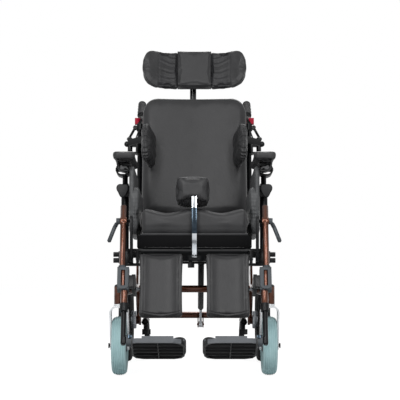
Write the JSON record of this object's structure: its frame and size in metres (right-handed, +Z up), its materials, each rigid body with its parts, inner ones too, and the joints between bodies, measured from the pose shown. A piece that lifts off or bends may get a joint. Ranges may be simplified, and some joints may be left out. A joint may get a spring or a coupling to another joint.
{
  "type": "tilt in space wheelchair",
  "caption": "Attendant wheelchair with a tilting seat, reclining padded back, winged head rest, lateral pads, abductor and elevating leg rests.",
  "frame": {"origin": "middle of the chair's footprint on the floor", "axes": "+X to the occupant's left, -Y to the front, +Z up"},
  "size_m": [0.586, 1.1004, 1.1846],
  "materials": {
    "copper_paint": "metallic copper brown powder coat",
    "black_paint": "satin black powder coat",
    "bright_steel": "bright plated",
    "cast_aluminium": "satin cast",
    "leatherette": "fine grained charcoal vinyl",
    "grey_tyre": "matt non-marking grey rubber",
    "black_rubber": "matt black rubber",
    "moulded_nylon": "moulded black glass-filled nylon"
  },
  "bodies": {
    "chair": {"front_cross_tube": "copper_paint", "rear_axle_tube": "copper_paint", "base_side_left": "copper_paint", "anti_tip_left": "black_paint", "base_side_right": "copper_paint", "anti_tip_right": "black_paint"},
    "caster_left": {"caster_fork_left": "bright_steel"},
    "caster_wheel_left": {"caster_rim_left": "cast_aluminium", "caster_tyre_left": "grey_tyre"},
    "rear_wheel_left": {"rear_rim_left": "moulded_nylon", "rear_tyre_left": "black_rubber"},
    "anti_tip_wheel_left": {"anti_tip_roller_left": "black_rubber"},
    "caster_right": {"caster_fork_right": "bright_steel"},
    "caster_wheel_right": {"caster_rim_right": "cast_aluminium", "caster_tyre_right": "grey_tyre"},
    "rear_wheel_right": {"rear_rim_right": "moulded_nylon", "rear_tyre_right": "black_rubber"},
    "anti_tip_wheel_right": {"anti_tip_roller_right": "black_rubber"},
    "seat": {"seat_frame": "copper_paint", "seat_pan": "black_paint", "seat_cushion": "leatherette"},
    "abductor": {"abductor_bar": "bright_steel", "abductor_pad": "leatherette"},
    "back": {"back_frame": "copper_paint", "back_shell": "black_paint", "back_cushion": "leatherette"},
    "head_stem": {"headrest_stem": "black_paint"},
    "head": {"headrest_plate": "black_paint", "headrest_pad": "leatherette"},
    "head_wing_left": {"headrest_wing_left": "leatherette"},
    "head_wing_right": {"headrest_wing_right": "leatherette"},
    "lateral_left": {"lateral_arm_left": "black_paint", "lateral_pad_left": "leatherette"},
    "lever_left": {"control_lever_left": "black_paint"},
    "lateral_right": {"lateral_arm_right": "black_paint", "lateral_pad_right": "leatherette"},
    "lever_right": {"control_lever_right": "black_paint"},
    "arm_left": {"arm_frame_left": "black_paint", "arm_pad_left": "leatherette", "side_guard_left": "leatherette"},
    "hanger_left": {"legrest_hanger_left": "copper_paint"},
    "leg_left": {"leg_tube_left": "copper_paint"},
    "calf_left": {"calf_pad_left": "leatherette"},
    "foot_left": {"foot_tube_left": "black_paint"},
    "plate_left": {"footplate_left": "moulded_nylon"},
    "latch_left": {"latch_lever_left": "black_paint"},
    "arm_right": {"arm_frame_right": "black_paint", "arm_pad_right": "leatherette", "side_guard_right": "leatherette"},
    "hanger_right": {"legrest_hanger_right": "copper_paint"},
    "leg_right": {"leg_tube_right": "copper_paint"},
    "calf_right": {"calf_pad_right": "leatherette"},
    "foot_right": {"foot_tube_right": "black_paint"},
    "plate_right": {"footplate_right": "moulded_nylon"},
    "latch_right": {"latch_lever_right": "black_paint"},
    "recline_rod": {"recline_spring_rod": "bright_steel"},
    "recline_cylinder": {"recline_spring_cylinder": "black_paint"},
    "tilt_rod": {"tilt_spring_rod": "bright_steel"},
    "tilt_cylinder": {"tilt_spring_cylinder": "black_paint"}
  },
  "joints": [
    {"name": "tilt", "type": "hinge", "parent": "chair", "child": "seat", "pos_m": [0, 0.11047, 0.392], "axis": [-1, 0, 0], "range_deg": [0, 20]},
    {"name": "recline", "type": "hinge", "parent": "seat", "child": "back", "pos_m": [0, 0.25036, 0.442], "axis": [-1, 0, 0], "range_deg": [0, 30]},
    {"name": "leg_raise_left", "type": "hinge", "parent": "hanger_left", "child": "leg_left", "pos_m": [0.236, -0.26959, 0.52262], "axis": [-1, 0, 0], "range_deg": [0, 60]},
    {"name": "leg_swing_left", "type": "hinge", "parent": "seat", "child": "hanger_left", "pos_m": [0.222, -0.22425, 0.42128], "axis": [0, 0.0872, 0.9962], "range_deg": [0, 60]},
    {"name": "foot_length_left", "type": "slide", "parent": "leg_left", "child": "foot_left", "axis": [0, -0.3746, -0.9272], "range_m": [0, 0.05]},
    {"name": "foot_angle_left", "type": "hinge", "parent": "foot_left", "child": "plate_left", "pos_m": [0.207, -0.42842, 0.1295], "axis": [-1, 0, 0], "range_deg": [-15, 15]},
    {"name": "calf_angle_left", "type": "hinge", "parent": "leg_left", "child": "calf_left", "pos_m": [0.236, -0.28893, 0.29855], "axis": [-1, 0, 0], "range_deg": [-8, 8]},
    {"name": "leg_raise_right", "type": "hinge", "parent": "hanger_right", "child": "leg_right", "pos_m": [-0.236, -0.26959, 0.52262], "axis": [-1, 0, 0], "range_deg": [0, 60]},
    {"name": "leg_swing_right", "type": "hinge", "parent": "seat", "child": "hanger_right", "pos_m": [-0.222, -0.22425, 0.42128], "axis": [0, -0.0872, -0.9962], "range_deg": [0, 60]},
    {"name": "foot_length_right", "type": "slide", "parent": "leg_right", "child": "foot_right", "axis": [0, -0.3746, -0.9272], "range_m": [0, 0.05]},
    {"name": "foot_angle_right", "type": "hinge", "parent": "foot_right", "child": "plate_right", "pos_m": [-0.207, -0.42842, 0.1295], "axis": [-1, 0, 0], "range_deg": [-15, 15]},
    {"name": "calf_angle_right", "type": "hinge", "parent": "leg_right", "child": "calf_right", "pos_m": [-0.236, -0.28893, 0.29855], "axis": [-1, 0, 0], "range_deg": [-8, 8]},
    {"name": "arm_height_left", "type": "slide", "parent": "seat", "child": "arm_left", "axis": [0, 0.0872, 0.9962], "range_m": [0, 0.08]},
    {"name": "arm_height_right", "type": "slide", "parent": "seat", "child": "arm_right", "axis": [0, 0.0872, 0.9962], "range_m": [0, 0.08]},
    {"name": "abductor_reach", "type": "slide", "parent": "seat", "child": "abductor", "axis": [0, -0.9962, 0.0872], "range_m": [0, 0.08]},
    {"name": "headrest_height", "type": "slide", "parent": "back", "child": "head_stem", "axis": [0, 0.2588, 0.9659], "range_m": [0, 0.08]},
    {"name": "headrest_tilt", "type": "hinge", "parent": "head_stem", "child": "head", "pos_m": [0, 0.44827, 1.10331], "axis": [-1, 0, 0], "range_deg": [-20, 20]},
    {"name": "headrest_wing_left", "type": "hinge", "parent": "head", "child": "head_wing_left", "pos_m": [0.071, 0.43697, 1.10634], "axis": [0, 0.2588, 0.9659], "range_deg": [0, 30]},
    {"name": "lateral_swing_left", "type": "hinge", "parent": "back", "child": "lateral_left", "pos_m": [0.2463, 0.36172, 0.80349], "axis": [0, 0.2588, 0.9659], "range_deg": [0, 90]},
    {"name": "control_lever_left", "type": "hinge", "parent": "back", "child": "lever_left", "pos_m": [0.228, 0.3845, 0.8885], "axis": [1, 0, 0], "range_deg": [0, 25], "stiffness_Nm_per_rad": 0.5, "springref_deg": -5.73},
    {"name": "leg_latch_left", "type": "hinge", "parent": "hanger_left", "child": "latch_left", "pos_m": [0.2535, -0.26959, 0.52262], "axis": [-1, 0, 0], "range_deg": [0, 60]},
    {"name": "caster_swivel_left", "type": "hinge", "parent": "chair", "child": "caster_left", "pos_m": [0.254, -0.20953, 0.241], "axis": [0, 0, 1], "continuous": true},
    {"name": "caster_roll_left", "type": "hinge", "parent": "caster_left", "child": "caster_wheel_left", "pos_m": [0.254, -0.16453, 0.1], "axis": [1, 0, 0], "continuous": true},
    {"name": "rear_roll_left", "type": "hinge", "parent": "chair", "child": "rear_wheel_left", "pos_m": [0.256, 0.29047, 0.157], "axis": [1, 0, 0], "continuous": true},
    {"name": "headrest_wing_right", "type": "hinge", "parent": "head", "child": "head_wing_right", "pos_m": [-0.071, 0.43697, 1.10634], "axis": [0, -0.2588, -0.9659], "range_deg": [0, 30]},
    {"name": "lateral_swing_right", "type": "hinge", "parent": "back", "child": "lateral_right", "pos_m": [-0.2463, 0.36172, 0.80349], "axis": [0, -0.2588, -0.9659], "range_deg": [0, 90]},
    {"name": "control_lever_right", "type": "hinge", "parent": "back", "child": "lever_right", "pos_m": [-0.228, 0.3845, 0.8885], "axis": [1, 0, 0], "range_deg": [0, 25], "stiffness_Nm_per_rad": 0.5, "springref_deg": -5.73},
    {"name": "leg_latch_right", "type": "hinge", "parent": "hanger_right", "child": "latch_right", "pos_m": [-0.2535, -0.26959, 0.52262], "axis": [-1, 0, 0], "range_deg": [0, 60]},
    {"name": "caster_swivel_right", "type": "hinge", "parent": "chair", "child": "caster_right", "pos_m": [-0.254, -0.20953, 0.241], "axis": [0, 0, 1], "continuous": true},
    {"name": "caster_roll_right", "type": "hinge", "parent": "caster_right", "child": "caster_wheel_right", "pos_m": [-0.254, -0.16453, 0.1], "axis": [1, 0, 0], "continuous": true},
    {"name": "rear_roll_right", "type": "hinge", "parent": "chair", "child": "rear_wheel_right", "pos_m": [-0.256, 0.29047, 0.157], "axis": [1, 0, 0], "continuous": true},
    {"name": "anti_tip_roll_left", "type": "hinge", "parent": "chair", "child": "anti_tip_wheel_left", "pos_m": [0.1614, 0.48247, 0.052], "axis": [1, 0, 0], "continuous": true},
    {"name": "anti_tip_roll_right", "type": "hinge", "parent": "chair", "child": "anti_tip_wheel_right", "pos_m": [-0.1614, 0.48247, 0.052], "axis": [1, 0, 0], "continuous": true},
    {"name": "tilt_rod_turn", "type": "hinge", "parent": "chair", "child": "tilt_rod", "pos_m": [0.023, 0.25547, 0.142], "axis": [1, 0, 0], "range_deg": [-9.38, 0]},
    {"name": "tilt_travel", "type": "slide", "parent": "tilt_rod", "child": "tilt_cylinder", "axis": [0, -0.8552, 0.5183], "range_m": [0, 0.04234]},
    {"name": "recline_rod_turn", "type": "hinge", "parent": "seat", "child": "recline_rod", "pos_m": [-0.06, -0.14358, 0.36805], "axis": [1, 0, 0], "range_deg": [0, 2.92]},
    {"name": "recline_travel", "type": "slide", "parent": "recline_rod", "child": "recline_cylinder", "axis": [0, 0.9957, -0.0926], "range_m": [-0.05446, 0]}
  ],
  "couplings": [
    {"joint": "tilt_rod_turn", "follows": "tilt", "ratio": -0.46665},
    {"joint": "tilt_travel", "follows": "tilt", "m_per_rad": 0.12101},
    {"joint": "recline_rod_turn", "follows": "recline", "ratio": 0.095746},
    {"joint": "recline_travel", "follows": "recline", "m_per_rad": -0.10382}
  ]
}
